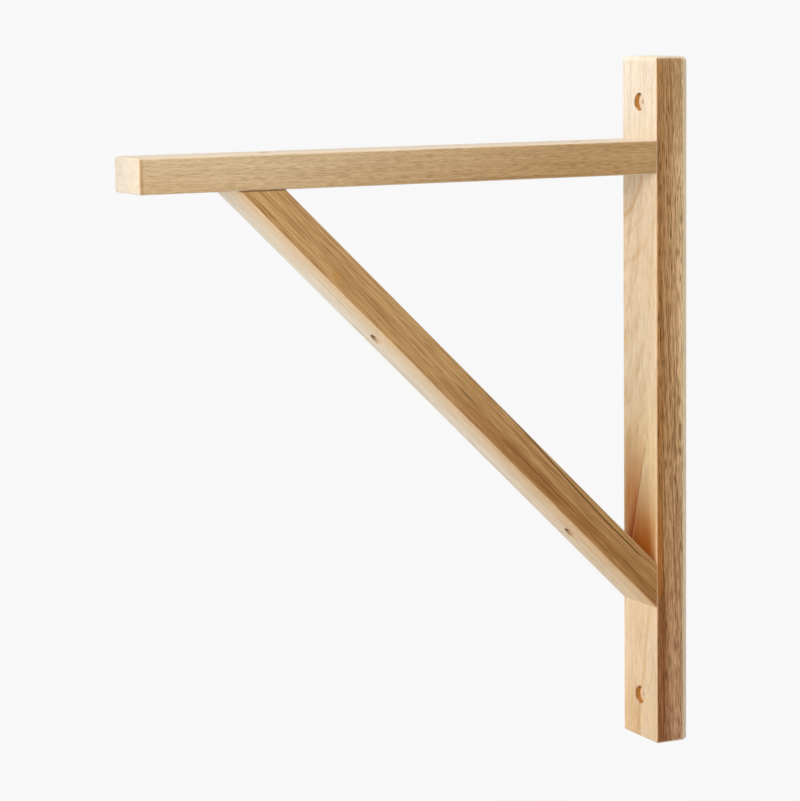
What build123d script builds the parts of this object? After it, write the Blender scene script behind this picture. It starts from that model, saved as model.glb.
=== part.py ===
from build123d import *
import math
import os

# A wooden shelf bracket: an upright post against the wall, an arm that carries the shelf
# and a diagonal brace between them, held together by countersunk wood screws.
# The wall is the plane Y = 0, the arm reaches out along -Y and Z is up. The origin lies
# on the wall, midway across the bracket, level with the top of the arm. Lengths are in mm.

# The three bars
bar_width = 38.0
post_thickness = 20.0
arm_thickness = 19.0
brace_thickness = 19.0

# The triangle: how far out and how far down the brace's lower face meets the other bars,
# and how much of the post and the arm sticks out past it
brace_reach = 256.0
brace_drop = 252.0
arm_overhang = 56.0
post_rise = 47.5
post_tail = 81.5

# Sanded edges
long_edge_round = 1.0
post_back_round = 3.0
post_end_round = 3.0

# Counterbored screw holes, in the post for the wall and across the brace
hole_diameter = 3.6
counterbore_diameter = 10.5
post_counterbore_depth = 3.1
brace_counterbore_depth = 7.0
wall_hole_inset = 26.0
brace_hole_from_arm = 124.0
brace_hole_from_post = 64.0

# Plain hole up through the arm for the screw that holds the shelf
shelf_hole_diameter = 4.6
shelf_hole_from_post = 41.0

# Countersunk wood screws: a pair through the post into the arm's end, and one into each
# end of the brace
arm_screw_diameter = 4.5
arm_screw_head = 8.6
arm_screw_length = 50.0
arm_screw_spacing = 18.0
brace_screw_diameter = 4.0
brace_screw_head = 7.6
brace_screw_length = 35.0
brace_screw_setback = 4.0
countersink_angle = 90.0
screw_head_sink = 1.2
screw_fit = 0.05
pilot_end_gap = 1.0
screw_tip_length = 4.0
screw_tip_diameter = 0.8
recess_slot = 1.1
recess_span = 4.2
recess_depth = 1.7
recess_taper = 12.0

# Heights and distances that follow
post_height = post_rise + arm_thickness + brace_drop + post_tail
post_bottom = post_rise - post_height
post_middle = (post_rise + post_bottom) / 2
post_front = -post_thickness
arm_length = brace_reach + arm_overhang
arm_underside = -arm_thickness
cone_spread = math.tan(math.radians(countersink_angle / 2))

# The brace's two long faces, and where the upper one meets the arm and the post
brace_angle = math.atan2(brace_drop, brace_reach)
brace_length = math.hypot(brace_reach, brace_drop)
inner_reach = brace_reach - brace_thickness / math.sin(brace_angle)
inner_drop = brace_drop - brace_thickness / math.cos(brace_angle)
brace_corners = [
    (post_front - brace_reach, arm_underside),
    (post_front - inner_reach, arm_underside),
    (post_front, arm_underside - inner_drop),
    (post_front, arm_underside - brace_drop),
]
brace_heel = Vector(0, post_front - brace_reach, arm_underside)
brace_direction = Vector(0, math.cos(brace_angle), -math.sin(brace_angle))
brace_outward = Vector(0, -math.sin(brace_angle), -math.cos(brace_angle))

# Planes that are drilled, each with its normal towards the drill
wall_side = Plane(origin=(0, 0, 0), x_dir=(-1, 0, 0), z_dir=(0, 1, 0))
room_side = Plane(origin=(0, post_front, 0), x_dir=(1, 0, 0), z_dir=(0, -1, 0))
post_joint = Plane(origin=(0, post_front, 0), x_dir=(-1, 0, 0), z_dir=(0, 1, 0))
arm_top = Plane.XY
arm_joint = Plane.XY.offset(arm_underside)
brace_lower_face = Plane(origin=brace_heel, x_dir=brace_direction, z_dir=brace_outward)

# Planes of the sunk screw heads
wall_side_heads = wall_side.offset(-screw_head_sink)
arm_top_heads = arm_top.offset(-screw_head_sink)

# Places of the holes and screws on those planes
wall_holes = [(0, post_rise - wall_hole_inset), (0, post_bottom + wall_hole_inset)]
brace_holes = [(brace_hole_from_arm, 0), (brace_length - brace_hole_from_post, 0)]
shelf_hole = (0, post_front - shelf_hole_from_post)
arm_screw_places = [
    (-arm_screw_spacing / 2, -arm_thickness / 2),
    (arm_screw_spacing / 2, -arm_thickness / 2),
]
upper_brace_screw = (0, post_front - inner_reach - brace_screw_setback)
lower_brace_screw = (0, arm_underside - inner_drop - brace_screw_setback)


def drill_counterbored(counterbore_depth):
    """Through hole with a round pocket that takes a screw head."""
    CounterBoreHole(hole_diameter / 2, counterbore_diameter / 2, counterbore_depth)


def drill_countersunk(diameter, head):
    """Through hole with a cone that seats a sunk head, and a straight pocket above the head."""
    CounterSinkHole(
        radius=diameter / 2 + screw_fit,
        counter_sink_radius=head / 2 + screw_fit,
        counter_sink_angle=countersink_angle,
    )


def drill_pilot(diameter, length, clamped):
    """Blind hole for the part of a screw that goes past the bar that it clamps."""
    Hole(diameter / 2 + screw_fit, screw_head_sink + length - clamped + pilot_end_gap)


def wood_screw(diameter, head, length):
    """Countersunk screw that points down -Z, with the middle of its flat head at the origin."""
    cone_height = (head - diameter) / 2 / cone_spread
    with BuildPart() as screw:
        with BuildSketch(Plane.XZ):
            with BuildLine():
                Polyline(
                    (0, 0),
                    (head / 2, 0),
                    (diameter / 2, -cone_height),
                    (diameter / 2, screw_tip_length - length),
                    (screw_tip_diameter / 2, -length),
                    (0, -length),
                    close=True,
                )
            make_face()
        revolve(axis=Axis.Z)
        with BuildSketch(Plane.XY):
            Rectangle(recess_span, recess_slot)
            Rectangle(recess_slot, recess_span)
        extrude(amount=-recess_depth, taper=recess_taper, mode=Mode.SUBTRACT)
    return screw.part


# Upright post. Its front edges are lightly sanded, its back edges and ends are rounded more.
with BuildPart() as wall_post:
    with BuildSketch(Plane.XY.offset(post_bottom)) as post_section:
        with Locations((0, post_front / 2)):
            Rectangle(bar_width, post_thickness)
        fillet(post_section.vertices().group_by(Axis.Y)[0], long_edge_round)
        fillet(post_section.vertices().group_by(Axis.Y)[-1], post_back_round)
    extrude(amount=post_height)
    with BuildSketch(Plane.XZ):
        with Locations((0, post_middle)):
            RectangleRounded(bar_width, post_height, post_end_round)
    extrude(amount=post_thickness, mode=Mode.INTERSECT)
    with BuildSketch(Plane.YZ):
        with Locations((post_front / 2, post_middle)):
            RectangleRounded(post_thickness, post_height, post_end_round)
    extrude(amount=bar_width / 2, both=True, mode=Mode.INTERSECT)
    with Locations(room_side):
        with Locations(*wall_holes):
            drill_counterbored(post_counterbore_depth)
    with Locations(wall_side_heads):
        with Locations(*arm_screw_places):
            drill_countersunk(arm_screw_diameter, arm_screw_head)
        with Locations(lower_brace_screw):
            drill_countersunk(brace_screw_diameter, brace_screw_head)
wall_post.part.label = "wall_post"

# Arm. Its inner end butts square against the post, and all its other edges are sanded.
with BuildPart() as shelf_arm:
    with BuildSketch(room_side):
        with Locations((0, arm_underside / 2)):
            Rectangle(bar_width, arm_thickness)
    extrude(amount=arm_length)
    free_end = shelf_arm.faces().sort_by(Axis.Y)[0]
    fillet(shelf_arm.edges().filter_by(Axis.Y) + free_end.edges(), long_edge_round)
    with Locations(arm_top_heads):
        with Locations(upper_brace_screw):
            drill_countersunk(brace_screw_diameter, brace_screw_head)
    with Locations(arm_top):
        with Locations(shelf_hole):
            Hole(shelf_hole_diameter / 2)
    with Locations(post_joint):
        with Locations(*arm_screw_places):
            drill_pilot(arm_screw_diameter, arm_screw_length, post_thickness)
shelf_arm.part.label = "shelf_arm"

# Diagonal brace, mitred to lie flat under the arm and flat against the post
with BuildPart() as diagonal_brace:
    with BuildSketch(Plane.YZ):
        with BuildLine():
            Polyline(*brace_corners, close=True)
        make_face()
    extrude(amount=bar_width / 2, both=True)
    long_edges = diagonal_brace.edges().filter_by(Axis(brace_heel, brace_direction))
    fillet(long_edges, long_edge_round)
    with Locations(brace_lower_face):
        with Locations(*brace_holes):
            drill_counterbored(brace_counterbore_depth)
    with Locations(arm_joint):
        with Locations(upper_brace_screw):
            drill_pilot(brace_screw_diameter, brace_screw_length, arm_thickness)
    with Locations(post_joint):
        with Locations(lower_brace_screw):
            drill_pilot(brace_screw_diameter, brace_screw_length, post_thickness)
diagonal_brace.part.label = "diagonal_brace"

# Pair of long screws from the wall side, through the post into the arm
with BuildPart() as arm_screws:
    with Locations(wall_side_heads):
        with Locations(*arm_screw_places):
            add(wood_screw(arm_screw_diameter, arm_screw_head, arm_screw_length))
arm_screws.part.label = "arm_screws"

# Two shorter screws: one down through the arm and one through the post, into the brace
with BuildPart() as brace_screws:
    with Locations(arm_top_heads):
        with Locations(upper_brace_screw):
            add(wood_screw(brace_screw_diameter, brace_screw_head, brace_screw_length))
    with Locations(wall_side_heads):
        with Locations(lower_brace_screw):
            add(wood_screw(brace_screw_diameter, brace_screw_head, brace_screw_length))
brace_screws.part.label = "brace_screws"

os.makedirs("parts", exist_ok=True)
for piece in (wall_post, shelf_arm, diagonal_brace, arm_screws, brace_screws):
    export_step(piece.part, f"parts/{piece.part.label}.step")
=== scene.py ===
import math
import bpy
from mathutils import Matrix, Vector


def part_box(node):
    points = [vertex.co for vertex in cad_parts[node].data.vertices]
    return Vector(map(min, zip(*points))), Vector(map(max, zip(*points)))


# A wooden shelf bracket against a plain pale background. The bars and screws are the packed
# solids, so this script gives them their wood and steel, and adds the light and the camera.
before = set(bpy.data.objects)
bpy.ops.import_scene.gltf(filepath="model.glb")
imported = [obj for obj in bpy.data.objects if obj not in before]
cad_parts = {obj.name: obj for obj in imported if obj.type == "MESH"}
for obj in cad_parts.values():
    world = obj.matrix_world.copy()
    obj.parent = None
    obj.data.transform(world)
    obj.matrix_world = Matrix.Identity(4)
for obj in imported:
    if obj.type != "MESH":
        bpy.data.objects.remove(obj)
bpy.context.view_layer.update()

# Camera, in metres and degrees, and the photograph's size in pixels
picture_width = 800
picture_height = 801
focal_pixels = 2791.13
sensor_size = 36.0
camera_azimuth = 64.61
camera_elevation = 7.82
camera_roll = -0.78
camera_distance = 1.55668
camera_target = Vector((0.0, -0.1743, -0.14038))

# Light, and the pale background that the camera sees
background_shade = 0.939
floor_height = -0.62
floor_size = 40.0
floor_albedo = 0.85
floor_shadow_share = 0.15
floor_shadow_reach = (0.3, 0.8)
ambient_strength = 0.24

# Wood is described in mm. Each bar has three of them at every place: across it, in from its
# face and along its grain. The post's run from its front and upwards, the arm's from its top
# and from its free end, and the brace's from its lower face and down from the arm, where
# through is negative inside the brace.
millimetres = 1000.0

# A mark starts or ends gradually, from the first mm of a pair to the second. Marks on a front
# end at this depth, and marks on the faces towards +X start at this place across the bar.
front_skin = (2.0, 6.0)
side_skin = (15.0, 18.0)

# Tones of the post's front: where they start and end along it, and the shade that multiplies
# the wood's colour there
upper_front = dict(starts=(0.0, -90.0), ends=(-165.0, -215.0), shade=(1.09, 1.11, 1.10))
lower_front = dict(starts=(-130.0, -180.0), ends=(-246.0, -262.0), shade=(1.01, 0.98, 0.84))
foot = dict(starts=(-255.0, -275.0), shade=(0.96, 0.92, 0.84), shade_above=(1.04, 1.05, 1.06))
foot_corner = dict(starts=(-300.0, -350.0), across=(6.0, -12.0), shade=(0.90, 0.76, 0.56))

# Oval rings on the post's front, round a knot that lies beside it, with the relative size and
# the strength of each ring
knot = dict(across=-22.0, height=-12.0, half_width=26.0, half_height=34.0)
knot_ring_sizes = ((0.62, 0.25), (1.0, 0.65), (1.35, 0.28), (1.8, 0.25))
knot_ring_starts = (-10.0, -24.0)
knot_ring_shade = (0.84, 0.66, 0.44)

# Rings that arch across the post's front: middle, half width and height of each arch and
# the height of its top
arches = (
    (4.0, 23.0, 30.0, -58.0),
    (6.0, 26.0, 50.0, -72.0),
    (7.0, 26.0, 66.0, -86.0),
    (8.0, 27.0, 84.0, -112.0),
    (10.0, 27.0, 90.0, -132.0),
)
arch_sharpness = 1.4
arch_shade = (0.92, 0.82, 0.68)

# Heartwood on the post's front, darkened towards the corner above the brace by painted shade
# and warm bounced light. Its edge slants: mm across for each mm of grain, and mm across where
# the grain's mm are 0. Each colour is laid over the wood with its strength.
heartwood_edge = (0.285, 57.8)
heartwood_ends = (-262.0, -268.0)
heartwood_and_shade_colours = dict(
    tan=dict(colour=(0.68, 0.25, 0.05), strength=0.9, starts=(-160.0, -212.0)),
    brown=dict(colour=(0.30, 0.13, 0.035), strength=0.3, starts=(-160.0, -200.0)),
    red=dict(colour=(0.42, 0.085, 0.003), strength=1.0, starts=(-196.0, -232.0)),
    amber=dict(colour=(0.66, 0.27, 0.035), strength=0.8, starts=(-186.0, -228.0)),
    orange=dict(colour=(0.53, 0.14, 0.0), strength=1.0, starts=(-208.0, -240.0)),
)

# Lines along the grain. place is where their middle lies, and width the mm from it between
# which they fade out. The seam's middle slants, and is given as the heartwood's edge is.
seam_line = (0.18, 60.0)
seam = dict(width=(0.3, 2.8), starts=(-256.0, -285.0), shade=(0.89, 0.82, 0.69))
beside_seam = dict(starts=(-250.0, -262.0), shade=(1.0, 0.985, 0.985))
upright_line = dict(place=0.4, width=(0.2, 0.8), starts=(-4.0, 3.0), shade=(0.92, 0.86, 0.79))
post_strip = dict(place=4.5, width=(0.5, 3.5), starts=(-225.0, -275.0), shade=(0.78, 0.64, 0.52))
post_vein = dict(place=13.2, width=(0.2, 1.0), starts=(10.0, -60.0), shade=(0.80, 0.60, 0.68))
brace_band = dict(place=-5.0, width=(1.0, 5.0), starts=(140.0, 210.0), shade=(0.82, 0.68, 0.52))
brace_band_beside = (1.02, 1.03, 1.03)
brace_check = dict(
    place=-15.3, width=(0.15, 0.75), starts=(180.0, 225.0), darkens=(205.0, 322.0),
    ends=(326.0, 334.0), bend=3.4, bend_ends=(195.0, 300.0),
    colour=(0.11, 0.045, 0.012), strength=0.9,
)
arm_line = dict(
    place=17.6, width=(0.2, 0.9), starts=(165.0, 200.0), ends=(260.0, 290.0),
    colour=(0.34, 0.17, 0.07), strength=0.4,
)

# Spots on the sides: their middles, their reach each way, and the colour laid over the wood
brace_short_check = dict(
    centre=(19.0, -9.4, 179.0), reach=(4.0, 1.1, 20.0), colour=(0.20, 0.09, 0.025), strength=0.7,
)
brace_warm_spot = dict(
    centre=(19.0, -5.0, 73.5), reach=(5.0, 3.5, 5.0), colour=(0.62, 0.30, 0.04), strength=0.5,
)
arm_knot = dict(
    centre=(19.0, 12.4, 59.5), reach=(4.0, 1.4, 3.2), colour=(0.32, 0.20, 0.11), strength=0.28,
)

# Edges of the bars: the post's bright front corner and pale back, both painted highlights, the
# back one over paler wood; the brace's dark seam under the arm, a glue line with painted shade
# in the joint; and the arm's end grain, whose colour shows round its corner
post_corner_highlight = dict(ends=(0.3, 1.2), across=(17.6, 18.4), colour=(0.92, 0.64, 0.38), strength=0.6)
post_back_highlight = dict(starts=(16.6, 18.6), across=(14.0, 16.5), colour=(0.97, 0.80, 0.60), strength=0.75)
mitre_seam_and_shade = dict(ends=(0.2, 0.9), colour=(0.17, 0.08, 0.03), strength=0.75)
arm_end = dict(ends=(0.0, 0.5), shade=(0.93, 1.0, 1.07), stripe_shade=(0.99, 0.95, 0.93))
arm_end_corner = dict(ends=(1.0, 3.2), across=(18.0, 18.8), shade=(0.80, 0.72, 0.62))

# Round pockets: the mm along the grain of their middles, their radius, the depths by which the
# wall's colour is full and at which it ends, and the shadow at one end of each. The wall colours
# are painted light and shade: warm shade in the post's pockets, a pale highlight in the brace's,
# dark shade in the arm's pocket and paler light in the bores of the wall holes
post_pockets_painted_shade = dict(
    places=(21.5, -326.5), radius=5.25, rim=0.9, floor=3.2,
    colour=(0.62, 0.30, 0.07), strength=0.9,
    shadow=(0.22, 0.11, 0.04), shadow_strength=0.8, shadow_starts=(2.8, 4.6),
)
brace_pockets_light_and_shade = dict(
    places=(124.0, 295.2), radius=5.25, rim=1.2, floor=7.1,
    colour=(0.98, 0.77, 0.53), strength=0.8,
    shadow=(0.20, 0.08, 0.02), shadow_strength=0.9, shadow_starts=(1.2, -2.2),
)
wall_hole_painted_light = dict(radius=1.8, rim=3.0, floor=20.0, colour=(0.95, 0.80, 0.60))
arm_pocket_painted_shade = dict(
    place=79.1, radius=3.85, rim=0.3, floor=1.2, colour=(0.26, 0.19, 0.12), strength=0.9,
)

# How much more of each colour, red to blue, late wood and pores take away
late_wood_takes = (0.6, 1.0, 1.5)
pores_take = (0.8, 1.0, 1.15)


def add(tree, kind, inputs=None, **settings):
    """New node with its settings, and with its inputs set to values or linked to sockets."""
    node = tree.nodes.new(kind)
    for name, value in settings.items():
        setattr(node, name, value)
    for name, value in (inputs or {}).items():
        if isinstance(value, bpy.types.NodeSocket):
            tree.links.new(value, node.inputs[name])
        else:
            node.inputs[name].default_value = value
    return node


def compute(tree, operation, *values):
    """Output of a Math node."""
    return add(tree, "ShaderNodeMath", dict(enumerate(values)), operation=operation).outputs[0]


def total(tree, first, second):
    """Two numbers or sockets added together."""
    return compute(tree, "ADD", first, second)


def difference(tree, first, second):
    """The first number or socket less the second."""
    return compute(tree, "SUBTRACT", first, second)


def product(tree, *factors):
    """Numbers or sockets multiplied together."""
    result = factors[0]
    for factor in factors[1:]:
        result = compute(tree, "MULTIPLY", result, factor)
    return result


def slant(tree, along, slope, start):
    """Straight line over the mm along: start at 0, and slope more for each mm."""
    return total(tree, product(tree, along, slope), start)


def diagonal(tree, first, second):
    """Length of the diagonal of a rectangle with these two sides."""
    squares = total(tree, compute(tree, "POWER", first, 2.0), compute(tree, "POWER", second, 2.0))
    return compute(tree, "SQRT", squares)


def join(tree, parts):
    """Three numbers or sockets as one vector."""
    return add(tree, "ShaderNodeCombineXYZ", dict(enumerate(parts))).outputs[0]


def ramp(tree, value, low, high, start=0.0, end=1.0):
    """value between low and high, eased into start to end."""
    limits = {"Value": value, "From Min": low, "From Max": high, "To Min": start, "To Max": end}
    node = add(tree, "ShaderNodeMapRange", limits, interpolation_type="SMOOTHSTEP")
    return node.outputs["Result"]


def fade(tree, value, full, gone):
    """1 up to full, easing to 0 at gone."""
    return ramp(tree, value, full, gone, 1.0, 0.0)


def noise(tree, place, scale, detail=2.0, roughness=0.5):
    """Noise over a place that has been scaled by three numbers, one each way."""
    scaled = add(tree, "ShaderNodeVectorMath", {0: place, 1: scale}, operation="MULTIPLY")
    inputs = {"Vector": scaled.outputs[0], "Scale": 1.0, "Detail": detail, "Roughness": roughness}
    return add(tree, "ShaderNodeTexNoise", inputs).outputs["Fac"]


def sway(tree, place, scale, reach, low=0.3, detail=2.0):
    """Slow wandering between -reach and reach, which noise between low and 1 - low gives."""
    return ramp(tree, noise(tree, place, scale, detail), low, 1.0 - low, -reach, reach)


def blend(tree, amount, below, above, mode="MIX"):
    """Colour of above laid over below."""
    node = add(tree, "ShaderNodeMix", data_type="RGBA", blend_type=mode)
    for socket, value in ((0, amount), (6, below), (7, above)):
        if isinstance(value, bpy.types.NodeSocket):
            tree.links.new(value, node.inputs[socket])
        else:
            node.inputs[socket].default_value = value
    return node.outputs[2]


def tint(tree, colour, amount, shade, elsewhere=(1.0, 1.0, 1.0)):
    """Colour multiplied by shade where amount is 1 and by elsewhere where it is 0."""
    factor = blend(tree, amount, (*elsewhere, 1), (*shade, 1))
    return blend(tree, 1.0, colour, factor, "MULTIPLY")


def stain(tree, colour, amount, cover, strength=1.0):
    """Colour covered by another one, as fully as amount times strength says."""
    return blend(tree, product(tree, amount, strength), colour, (*cover, 1))


def new_material(name):
    """Empty material, its node tree and its shader."""
    material = bpy.data.materials.new(name)
    material.use_nodes = True
    tree = material.node_tree
    return material, tree, tree.nodes["Principled BSDF"]


def bar_frame(tree, turn, origin):
    """Sockets for the mm across a bar, in from its face and along its grain.

    turn brings the grain onto Z by a rotation about X, and origin is where the three mm start.
    """
    place = add(tree, "ShaderNodeTexCoord").outputs["Object"]
    start = -(Matrix.Rotation(turn, 3, "X") @ origin) * millimetres
    scale = (millimetres, millimetres, millimetres)
    mapping = {"Vector": place, "Location": start, "Rotation": (turn, 0, 0), "Scale": scale}
    turned = add(tree, "ShaderNodeMapping", mapping).outputs[0]
    split = add(tree, "ShaderNodeSeparateXYZ", {0: turned})
    return split.outputs["X"], split.outputs["Y"], split.outputs["Z"]


def growth_rings(tree, places, pith, tilt, gap, straight):
    """How dark the late wood is at each place, by its distance from the pith.

    pith is its mm across and below the face. tilt gives two places along the grain, and the mm
    by which the pith is deeper at the first of them.
    """
    across, through, grain = places
    pith_across, pith_depth = pith
    near, far, deeper = tilt
    depth = total(tree, through, ramp(tree, grain, near, far, pith_depth + deeper, pith_depth))
    slow = sway(tree, straight, (0.035, 0.035, 0.012), 4.0, low=0.2)
    quick = sway(tree, straight, (0.2, 0.2, 0.03), 0.9, low=0.2, detail=3.0)
    sideways = total(tree, difference(tree, across, pith_across), slow)
    radius = total(tree, diagonal(tree, sideways, depth), quick)
    phase = compute(tree, "FRACT", compute(tree, "DIVIDE", radius, gap))
    return product(tree, ramp(tree, phase, 0.2, 0.9), fade(tree, phase, 0.92, 1.0))


def streak_tone(tree, straight, pace, broad, fine, dashes):
    """0 to 1, dark to light: broad and fine streaks along the grain and short dashes.

    pace is how many dashes follow each other in a mm of grain, and the other three numbers are
    the weights of the broad streaks, the fine ones and the dashes.
    """
    parts = (
        (broad, noise(tree, straight, (0.17, 0.17, 0.004))),
        (fine, noise(tree, straight, (0.95, 0.95, 0.014), 3.0, 0.65)),
        (dashes, noise(tree, straight, (1.9, 1.9, pace))),
    )
    tone = 0.5
    for weight, value in parts:
        tone = total(tree, tone, product(tree, difference(tree, value, 0.5), weight))
    return ramp(tree, tone, 0.0, 1.0)


def pore_lines(tree, straight, pace):
    """1 on thin short dark pores that lie along the grain, crowded in some stretches."""
    dashes = noise(tree, straight, (2.0, 2.0, 0.8 * pace), 1.0)
    crowded = noise(tree, straight, (0.22, 0.22, 0.012))
    least = difference(tree, 0.78, product(tree, crowded, 0.42))
    return ramp(tree, difference(tree, dashes, least), -0.04, 0.10)


def bored(tree, places, centre, hole):
    """1 on the wall of a round hole, and the place along the grain from the hole's centre.

    The wall's mark eases in down to the hole's rim, in mm below the face, and ends at its floor.
    """
    across, through, grain = places
    off = difference(tree, grain, centre)
    from_wall = difference(tree, diagonal(tree, across, off), hole["radius"])
    wall = fade(tree, compute(tree, "ABSOLUTE", from_wall), 0.12, 0.25)
    inward = compute(tree, "ABSOLUTE", through)
    rim = ramp(tree, inward, 0.2, hole["rim"])
    floor = fade(tree, inward, hole["floor"], hole["floor"] + 0.4)
    return product(tree, wall, rim, floor), off


def line_mark(tree, off, grain, mark):
    """1 on a line along the grain, where off is the mm from its middle line."""
    near = fade(tree, compute(tree, "ABSOLUTE", off), *mark["width"])
    return product(tree, near, ramp(tree, grain, *mark["starts"]))


def spot_mark(tree, places, colour, mark):
    """Colour with an ellipsoid of another one in it, which fades from its centre to its reach."""
    offsets = []
    for place, middle, size in zip(places, mark["centre"], mark["reach"]):
        offsets.append(compute(tree, "DIVIDE", difference(tree, place, middle), size))
    length = add(tree, "ShaderNodeVectorMath", {0: join(tree, offsets)}, operation="LENGTH")
    amount = fade(tree, length.outputs["Value"], 0.0, 1.0)
    return stain(tree, colour, amount, mark["colour"], mark["strength"])


def pocket_light_and_shade(tree, places, colour, pockets):
    """Painted light and shade on a bar's pocket walls, and a painted shadow at one end of each."""
    for centre in pockets["places"]:
        wall, off = bored(tree, places, centre, pockets)
        colour = stain(tree, colour, wall, pockets["colour"], pockets["strength"])
        shaded = product(tree, wall, ramp(tree, off, *pockets["shadow_starts"]))
        colour = stain(tree, colour, shaded, pockets["shadow"], pockets["shadow_strength"])
    return colour


def knot_rings(tree, colour, front, moved, grain):
    """Oval rings of the knot beside the post."""
    beside = compute(tree, "DIVIDE", difference(tree, moved, knot["across"]), knot["half_width"])
    above = compute(tree, "DIVIDE", difference(tree, grain, knot["height"]), knot["half_height"])
    around = diagonal(tree, beside, above)
    under_arm = ramp(tree, grain, *knot_ring_starts)
    for size, strength in knot_ring_sizes:
        inward = difference(tree, size, around)
        band = product(tree, ramp(tree, inward, -0.03, 0.01), fade(tree, inward, 0.02, 0.13))
        amount = product(tree, band, under_arm, front, strength)
        colour = tint(tree, colour, amount, knot_ring_shade)
    return colour


def arching_rings(tree, colour, amount, front, moved, grain):
    """Rings that arch across the post's front, each sharp above and fading below."""
    for middle, half_width, height, peak in arches:
        off = compute(tree, "DIVIDE", difference(tree, moved, middle), half_width)
        bent = compute(tree, "POWER", compute(tree, "ABSOLUTE", off), arch_sharpness)
        below = difference(tree, difference(tree, peak, product(tree, bent, height)), grain)
        band = product(tree, ramp(tree, below, -2.0, 1.0), fade(tree, below, 2.0, 14.0), front)
        colour = tint(tree, colour, product(tree, band, amount), arch_shade)
    return colour


def heartwood_and_corner_shade(tree, colour, front, across, grain, from_edge, faint):
    """Slanting heartwood above the brace: tan to red left of its edge, orange right of it.

    Towards the brace its colours deepen as painted shade of the corner between brace and post.
    """
    left = fade(tree, from_edge, -0.6, 0.3)
    outward = ramp(tree, across, -19.0, -12.0, 0.35, 1.0)
    right = product(
        tree, ramp(tree, from_edge, -0.7, 1.2), ramp(tree, across, 7.0, 19.0, 1.0, 0.4),
        fade(tree, grain, *heartwood_ends), faint,
    )
    areas = dict(
        tan=product(tree, left, faint, outward),
        brown=product(tree, left, ramp(tree, from_edge, -2.6, -0.8)),
        red=product(tree, left, ramp(tree, from_edge, -9.0, -1.0)),
        amber=right,
        orange=right,
    )
    for name, area in areas.items():
        part = heartwood_and_shade_colours[name]
        amount = product(tree, area, ramp(tree, grain, *part["starts"]), front)
        colour = stain(tree, colour, amount, part["colour"], part["strength"])
    return colour


def post_foot(tree, colour, front, across, grain, from_seam, lines, faint):
    """The post's front below the brace: darker streaks, a faint slanting seam, a dark corner."""
    low = product(tree, front, lines, ramp(tree, grain, *foot["starts"]))
    colour = tint(tree, colour, low, foot["shade"], foot["shade_above"])
    on_seam = product(tree, line_mark(tree, from_seam, grain, seam), front, faint)
    colour = tint(tree, colour, on_seam, seam["shade"])
    left = product(
        tree, fade(tree, from_seam, -2.0, 0.0), ramp(tree, grain, *beside_seam["starts"]), front,
    )
    colour = tint(tree, colour, left, beside_seam["shade"])
    corner = product(
        tree, low, ramp(tree, grain, *foot_corner["starts"]),
        ramp(tree, across, *foot_corner["across"]),
    )
    return tint(tree, colour, corner, foot_corner["shade"])


def post_marks(tree, places, colour):
    """Figure of the post's front, strip, vein and pale back of its sides, and its wall holes.

    Painted light is laid on too: shade in the corner above the brace, highlights on the front
    corner and the pale back, and light and shade in the pockets and wall holes.
    """
    across, through, grain = places
    here = join(tree, places)
    front = fade(tree, through, *front_skin)
    side = ramp(tree, across, *side_skin)
    lines = ramp(tree, noise(tree, here, (0.8, 0.8, 0.012), 3.0), 0.35, 0.65, 0.4, 1.0)
    patches = ramp(tree, noise(tree, here, (0.09, 0.09, 0.03)), 0.40, 0.62, 0.15, 1.0)
    faint = slant(tree, lines, 0.4, 0.6)
    moved = total(tree, across, sway(tree, here, (0.07, 0.07, 0.03), 1.2))
    jitter = sway(tree, here, (0.05, 0.05, 0.05), 0.5)

    for tone in (upper_front, lower_front):
        within = product(tree, ramp(tree, grain, *tone["starts"]), fade(tree, grain, *tone["ends"]))
        colour = tint(tree, colour, product(tree, within, front), tone["shade"])
    colour = knot_rings(tree, colour, front, moved, grain)
    colour = arching_rings(tree, colour, product(tree, lines, patches), front, moved, grain)
    # Heartwood, with painted shade of the corner above the brace
    edge_place = total(tree, slant(tree, grain, *heartwood_edge), jitter)
    from_edge = difference(tree, across, edge_place)
    colour = heartwood_and_corner_shade(tree, colour, front, across, grain, from_edge, faint)
    seam_place = total(tree, slant(tree, grain, *seam_line), jitter)
    from_seam = difference(tree, across, seam_place)
    colour = post_foot(tree, colour, front, across, grain, from_seam, lines, faint)

    from_strip = difference(tree, through, post_strip["place"])
    strip = product(tree, line_mark(tree, from_strip, grain, post_strip), side, lines)
    colour = tint(tree, colour, strip, post_strip["shade"])
    from_line = difference(tree, across, upright_line["place"])
    line = product(tree, line_mark(tree, from_line, grain, upright_line), front, patches)
    colour = tint(tree, colour, line, upright_line["shade"])
    waver = sway(tree, here, (0.03, 0.03, 0.03), 1.2)
    from_vein = total(tree, difference(tree, through, post_vein["place"]), waver)
    vein = product(tree, line_mark(tree, from_vein, grain, post_vein), side, lines)
    colour = tint(tree, colour, vein, post_vein["shade"])
    # Painted highlight on the post's rounded front corner
    corner = product(
        tree, fade(tree, through, *post_corner_highlight["ends"]), ramp(tree, across, *post_corner_highlight["across"]),
    )
    colour = stain(tree, colour, corner, post_corner_highlight["colour"], post_corner_highlight["strength"])
    # Painted highlight on the back rounding of the post's side, over paler wood
    back = product(
        tree, ramp(tree, through, *post_back_highlight["starts"]), ramp(tree, across, *post_back_highlight["across"]),
    )
    colour = stain(tree, colour, back, post_back_highlight["colour"], post_back_highlight["strength"])

    colour = pocket_light_and_shade(tree, places, colour, post_pockets_painted_shade)
    # The bores of the wall holes, lightened by painted light against their shade
    for centre in post_pockets_painted_shade["places"]:
        drilled_painted_light, _ = bored(tree, places, centre, wall_hole_painted_light)
        colour = stain(tree, colour, drilled_painted_light, wall_hole_painted_light["colour"])
    return colour


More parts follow.
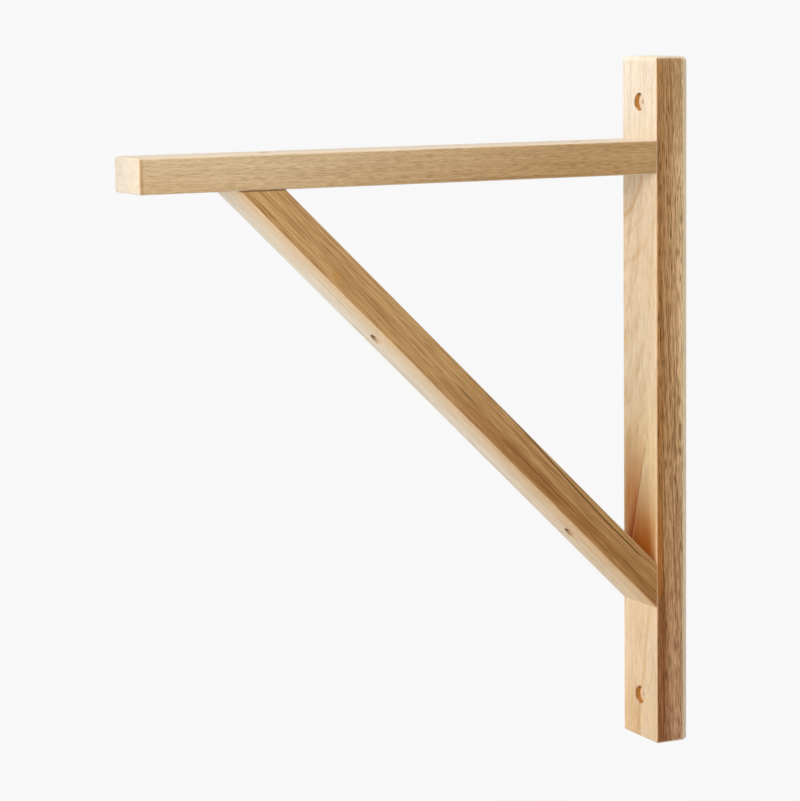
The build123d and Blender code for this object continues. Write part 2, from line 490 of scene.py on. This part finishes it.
def brace_marks(tree, places, colour):
    """Checks, band and warm spot of the brace's side, its dark seam under the arm, its pockets.

    The seam is a glue line with painted shade, and the pockets' walls hold painted light and shade.
    """
    across, through, grain = places
    side = ramp(tree, across, *side_skin)
    bend = product(tree, fade(tree, grain, *brace_check["bend_ends"]), brace_check["bend"])
    from_check = total(tree, difference(tree, through, brace_check["place"]), bend)
    check = product(
        tree, line_mark(tree, from_check, grain, brace_check),
        fade(tree, grain, *brace_check["ends"]),
        ramp(tree, grain, *brace_check["darkens"], 0.75, 1.0), side,
    )
    colour = stain(tree, colour, check, brace_check["colour"], brace_check["strength"])
    # Dark glue line with painted shade in the joint, just under the arm
    start = product(tree, through, math.cos(brace_slope))
    below_arm = slant(tree, grain, math.sin(brace_slope), start)
    mitre = product(tree, fade(tree, below_arm, *mitre_seam_and_shade["ends"]), side)
    colour = stain(tree, colour, mitre, mitre_seam_and_shade["colour"], mitre_seam_and_shade["strength"])
    here = join(tree, places)
    lines = ramp(tree, noise(tree, here, (0.5, 0.9, 0.012), 3.0), 0.35, 0.65, 0.3, 1.0)
    from_band = difference(tree, through, brace_band["place"])
    band = product(tree, line_mark(tree, from_band, grain, brace_band), side, lines)
    colour = tint(tree, colour, band, brace_band["shade"], brace_band_beside)
    colour = spot_mark(tree, places, colour, brace_short_check)
    colour = spot_mark(tree, places, colour, brace_warm_spot)
    return pocket_light_and_shade(tree, places, colour, brace_pockets_light_and_shade)


def arm_marks(tree, places, colour):
    """The arm's free end, the sunk screw's pocket, and the small knot and dark line on its side.

    The pocket's wall is dark with painted shade.
    """
    across, through, grain = places
    side = ramp(tree, across, *side_skin)
    free_end = fade(tree, grain, *arm_end["ends"])
    colour = tint(tree, colour, free_end, arm_end["shade"])
    stripes = ramp(tree, noise(tree, join(tree, places), (0.6, 0.05, 0.05)), 0.35, 0.65)
    colour = tint(tree, colour, product(tree, free_end, stripes), arm_end["stripe_shade"])
    corner = product(
        tree, fade(tree, grain, *arm_end_corner["ends"]),
        ramp(tree, across, *arm_end_corner["across"]),
    )
    colour = tint(tree, colour, corner, arm_end_corner["shade"])
    # Painted shade on the wall of the sunk screw's pocket
    wall, _ = bored(tree, places, arm_pocket_painted_shade["place"], arm_pocket_painted_shade)
    colour = stain(tree, colour, wall, arm_pocket_painted_shade["colour"], arm_pocket_painted_shade["strength"])
    colour = spot_mark(tree, places, colour, arm_knot)
    from_line = difference(tree, through, arm_line["place"])
    line = product(
        tree, line_mark(tree, from_line, grain, arm_line),
        fade(tree, grain, *arm_line["ends"]), side,
    )
    return stain(tree, colour, line, arm_line["colour"], arm_line["strength"])


def wood(name, turn, origin, seed, lean, pace, pith, tilt, ring_gap, face, side, marks):
    """Wood that is solid all through: each face of a bar shows its own cut of the same grain.

    seed shifts the noise, lean is how far the grain moves in from the face for each mm along it,
    and pace is how many dashes there are in a mm of it. face and side hold the colours and the
    strength of the figure on the broad faces and on the faces that look sideways. marks adds
    what only this bar shows.
    """
    material, tree, shader = new_material(name)
    places = bar_frame(tree, turn, origin)
    across, through, grain = places
    drifted = difference(tree, through, product(tree, grain, lean))
    straight = join(tree, (across, drifted, total(tree, grain, seed)))
    late = growth_rings(tree, places, pith, tilt, ring_gap, straight)
    patches = ramp(tree, noise(tree, join(tree, places), (0.06, 0.06, 0.012)), 0.4, 0.6)
    pores = pore_lines(tree, straight, pace)
    colours = []
    for look in (face, side):
        along = ramp(tree, grain, *look["along"])
        colour = blend(tree, along, (*look["near"], 1), (*look["far"], 1))
        edge = across if look is face else through
        first_edge, second_edge = look["edges"]
        colour = tint(tree, colour, ramp(tree, edge, *look["cross"]), second_edge, first_edge)
        tone = streak_tone(tree, straight, pace, *look["streaks"])
        colour = tint(tree, colour, tone, look["light"], look["dark"])
        ring_shade = tuple(1.0 - look["rings"] * part for part in late_wood_takes)
        colour = tint(tree, colour, product(tree, late, patches), ring_shade)
        pore_shade = tuple(1.0 - look["pores"] * part for part in pores_take)
        colours.append(tint(tree, colour, pores, pore_shade))
    normal = add(tree, "ShaderNodeTexCoord").outputs["Normal"]
    normal_x = add(tree, "ShaderNodeSeparateXYZ", {0: normal}).outputs["X"]
    sideways = ramp(tree, compute(tree, "ABSOLUTE", normal_x), 0.6, 0.97)
    marked = marks(tree, places, blend(tree, sideways, *colours))
    tree.links.new(marked, shader.inputs["Base Color"])

    tree.links.new(ramp(tree, pores, 0.0, 1.0, 0.52, 0.65), shader.inputs["Roughness"])
    shader.inputs["Specular IOR Level"].default_value = 0.12
    height = difference(tree, 1.0, pores)
    bump = add(tree, "ShaderNodeBump", {"Height": height, "Strength": 0.3, "Distance": 0.0001})
    tree.links.new(bump.outputs[0], shader.inputs["Normal"])
    return material


def steel(name):
    """Zinc-plated steel with fine marks from driving."""
    material, tree, shader = new_material(name)
    place = add(tree, "ShaderNodeTexCoord").outputs["Object"]
    marks = noise(tree, place, (900.0, 900.0, 900.0), 3.0, 0.6)
    clouds = noise(tree, place, (150.0, 150.0, 150.0))
    tone = blend(tree, ramp(tree, clouds, 0.3, 0.7), (0.55, 0.56, 0.56, 1), (0.68, 0.67, 0.62, 1))
    tree.links.new(tone, shader.inputs["Base Color"])
    tree.links.new(ramp(tree, marks, 0.3, 0.7, 0.28, 0.48), shader.inputs["Roughness"])
    shader.inputs["Metallic"].default_value = 1.0
    bump = add(tree, "ShaderNodeBump", {"Height": marks, "Strength": 0.2, "Distance": 0.00005})
    tree.links.new(bump.outputs[0], shader.inputs["Normal"])
    return material


def dress(node, material):
    """Puts a material on every slot of a CAD node."""
    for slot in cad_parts[node].material_slots:
        slot.material = material


def background_rays(tree):
    """1 for rays from the camera and for those that glossy or clear surfaces send on."""
    path = add(tree, "ShaderNodeLightPath").outputs
    glossy = compute(tree, "MAXIMUM", path["Is Camera Ray"], path["Is Glossy Ray"])
    return compute(tree, "MAXIMUM", glossy, path["Is Transmission Ray"])


def make_floor():
    """Wide pale floor, which looks like the background and keeps a faint shadow."""
    bpy.ops.mesh.primitive_plane_add(size=floor_size, location=(0, 0, floor_height))
    floor = bpy.context.object
    floor.name = "floor"
    material, tree, shader = new_material("floor_paper")
    shader.inputs["Base Color"].default_value = (floor_albedo, floor_albedo, floor_albedo, 1)
    shader.inputs["Roughness"].default_value = 1.0
    shader.inputs["Specular IOR Level"].default_value = 0.0
    shade = (background_shade, background_shade, background_shade, 1)
    glow = add(tree, "ShaderNodeEmission", {"Color": shade, "Strength": 1.0})
    place = add(tree, "ShaderNodeTexCoord").outputs["Object"]
    from_middle = add(tree, "ShaderNodeVectorMath", {0: place}, operation="LENGTH").outputs["Value"]
    bare = ramp(tree, from_middle, *floor_shadow_reach, 1.0 - floor_shadow_share, 1.0)
    share = product(tree, background_rays(tree), bare)
    mixed = add(tree, "ShaderNodeMixShader", {0: share, 1: shader.outputs[0], 2: glow.outputs[0]})
    tree.links.new(mixed.outputs[0], tree.nodes["Material Output"].inputs["Surface"])
    floor.data.materials.append(material)


def make_world():
    """Soft even light from all round, seen by the camera as the pale background."""
    world = bpy.data.worlds.new("studio")
    bpy.context.scene.world = world
    world.use_nodes = True
    tree = world.node_tree
    light = tree.nodes["Background"]
    light.inputs["Color"].default_value = (1, 1, 1, 1)
    light.inputs["Strength"].default_value = ambient_strength
    shade = (background_shade, background_shade, background_shade, 1)
    seen = add(tree, "ShaderNodeBackground", {"Color": shade, "Strength": 1.0})
    inputs = {0: background_rays(tree), 1: light.outputs[0], 2: seen.outputs[0]}
    mixed = add(tree, "ShaderNodeMixShader", inputs)
    tree.links.new(mixed.outputs[0], tree.nodes["World Output"].inputs["Surface"])


def area_light(name, location, size, power):
    """Soft box that looks at the middle of the bracket."""
    data = bpy.data.lights.new(name, "AREA")
    data.shape = "SQUARE"
    data.size = size
    data.energy = power
    lamp = bpy.data.objects.new(name, data)
    lamp.location = location
    lamp.rotation_mode = "QUATERNION"
    lamp.rotation_quaternion = (camera_target - lamp.location).to_track_quat("-Z", "Y")
    bpy.context.scene.collection.objects.link(lamp)


def make_camera():
    """Camera that looks at the target from an azimuth and an elevation, with a slight roll."""
    azimuth = math.radians(camera_azimuth)
    elevation = math.radians(camera_elevation)
    back = Vector((
        math.sin(azimuth) * math.cos(elevation),
        -math.cos(azimuth) * math.cos(elevation),
        math.sin(elevation),
    ))
    right = Vector((math.cos(azimuth), math.sin(azimuth), 0))
    up = back.cross(right)
    turn = Matrix.Rotation(math.radians(camera_roll), 3, "Z")
    axes = Matrix((right, up, back)).transposed() @ turn
    data = bpy.data.cameras.new("camera")
    data.sensor_width = sensor_size
    data.lens = focal_pixels / max(picture_width, picture_height) * sensor_size
    data.clip_start = 0.05
    data.clip_end = 100.0
    camera = bpy.data.objects.new("camera", data)
    camera.matrix_world = Matrix.Translation(camera_target + back * camera_distance) @ axes.to_4x4()
    bpy.context.scene.collection.objects.link(camera)
    bpy.context.scene.camera = camera


# Each bar's grain: where its mm start, and the turn that brings its grain onto Z
quarter_turn = math.pi / 2
post_low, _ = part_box("wall_post")
arm_low, arm_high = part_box("shelf_arm")
brace_low, brace_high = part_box("diagonal_brace")
post_origin = Vector((0.0, post_low[1], 0.0))
arm_origin = Vector((0.0, arm_low[1], arm_high[2]))
brace_origin = Vector((0.0, brace_low[1], brace_high[2]))
brace_slope = math.atan2(brace_high[2] - brace_low[2], brace_high[1] - brace_low[1])
brace_turn = quarter_turn + brace_slope

post_wood = wood(
    "post_wood", turn=0.0, origin=post_origin, seed=0.0, lean=-0.03, pace=0.13,
    pith=(-24.0, 4.0), tilt=(-300.0, 60.0, 62.0), ring_gap=6.5,
    face=dict(
        near=(0.81, 0.63, 0.44), far=(0.88, 0.76, 0.61), along=(-60.0, 20.0),
        cross=(-19.0, 19.0), edges=((1.03, 1.03, 1.03), (0.98, 0.97, 0.95)),
        streaks=(0.9, 2.0, 2.0), dark=(0.94, 0.90, 0.84), light=(1.05, 1.07, 1.10),
        rings=0.12, pores=0.15,
    ),
    side=dict(
        near=(0.435, 0.195, 0.078), far=(0.52, 0.265, 0.10), along=(-350.0, -150.0),
        cross=(1.0, 22.0), edges=((0.93, 0.90, 0.88), (1.62, 2.15, 2.9)),
        streaks=(1.7, 2.6, 2.1), dark=(0.68, 0.60, 0.51), light=(1.30, 1.38, 1.45),
        rings=0.12, pores=0.6,
    ),
    marks=post_marks,
)
arm_wood = wood(
    "arm_wood", turn=quarter_turn, origin=arm_origin, seed=511.0, lean=0.01, pace=0.17,
    pith=(2.0, 60.0), tilt=(0.0, 312.0, 3.0), ring_gap=5.0,
    face=dict(
        near=(0.79, 0.65, 0.49), far=(0.82, 0.68, 0.52), along=(0.0, 312.0),
        cross=(-19.0, 19.0), edges=((0.94, 0.95, 0.97), (1.04, 1.02, 0.98)),
        streaks=(1.1, 1.2, 1.3), dark=(0.94, 0.92, 0.88), light=(1.05, 1.07, 1.10),
        rings=0.06, pores=0.10,
    ),
    side=dict(
        near=(0.75, 0.55, 0.32), far=(0.69, 0.435, 0.20), along=(30.0, 300.0),
        cross=(1.0, 19.0), edges=((1.02, 1.03, 1.05), (0.94, 0.90, 0.86)),
        streaks=(0.8, 1.3, 1.8), dark=(0.86, 0.81, 0.74), light=(1.12, 1.15, 1.19),
        rings=0.06, pores=0.22,
    ),
    marks=arm_marks,
)
brace_wood = wood(
    "brace_wood", turn=brace_turn, origin=brace_origin, seed=1303.0, lean=0.015, pace=0.06,
    pith=(-8.0, 50.0), tilt=(0.0, 360.0, 4.0), ring_gap=4.5,
    face=dict(
        near=(0.75, 0.595, 0.425), far=(0.72, 0.52, 0.32), along=(150.0, 330.0),
        cross=(-19.0, 19.0), edges=((1.02, 1.12, 1.28), (0.95, 0.86, 0.74)),
        streaks=(1.2, 1.8, 1.5), dark=(0.90, 0.85, 0.79), light=(1.08, 1.12, 1.16),
        rings=0.07, pores=0.12,
    ),
    side=dict(
        near=(0.645, 0.375, 0.158), far=(0.60, 0.32, 0.118), along=(20.0, 340.0),
        cross=(-18.0, -1.0), edges=((1.0, 1.0, 1.0), (0.96, 0.94, 0.92)),
        streaks=(1.1, 1.8, 1.6), dark=(0.74, 0.68, 0.60), light=(1.19, 1.24, 1.30),
        rings=0.10, pores=0.28,
    ),
    marks=brace_marks,
)
screw_steel = steel("screw_steel")

dress("wall_post", post_wood)
dress("shelf_arm", arm_wood)
dress("diagonal_brace", brace_wood)
dress("arm_screws", screw_steel)
dress("brace_screws", screw_steel)

make_floor()
make_world()
area_light("key", location=(0.25, -1.5, 0.0), size=0.9, power=11.2)
area_light("fill", location=(0.55, -0.75, 0.3), size=0.4, power=2.9)
area_light("top", location=(-0.1, -0.2, 1.2), size=0.7, power=8.0)
area_light("rim", location=(0.15, 1.3, 0.3), size=0.7, power=6.0)
make_camera()

view_settings = bpy.context.scene.view_settings
view_settings.view_transform = "Standard"
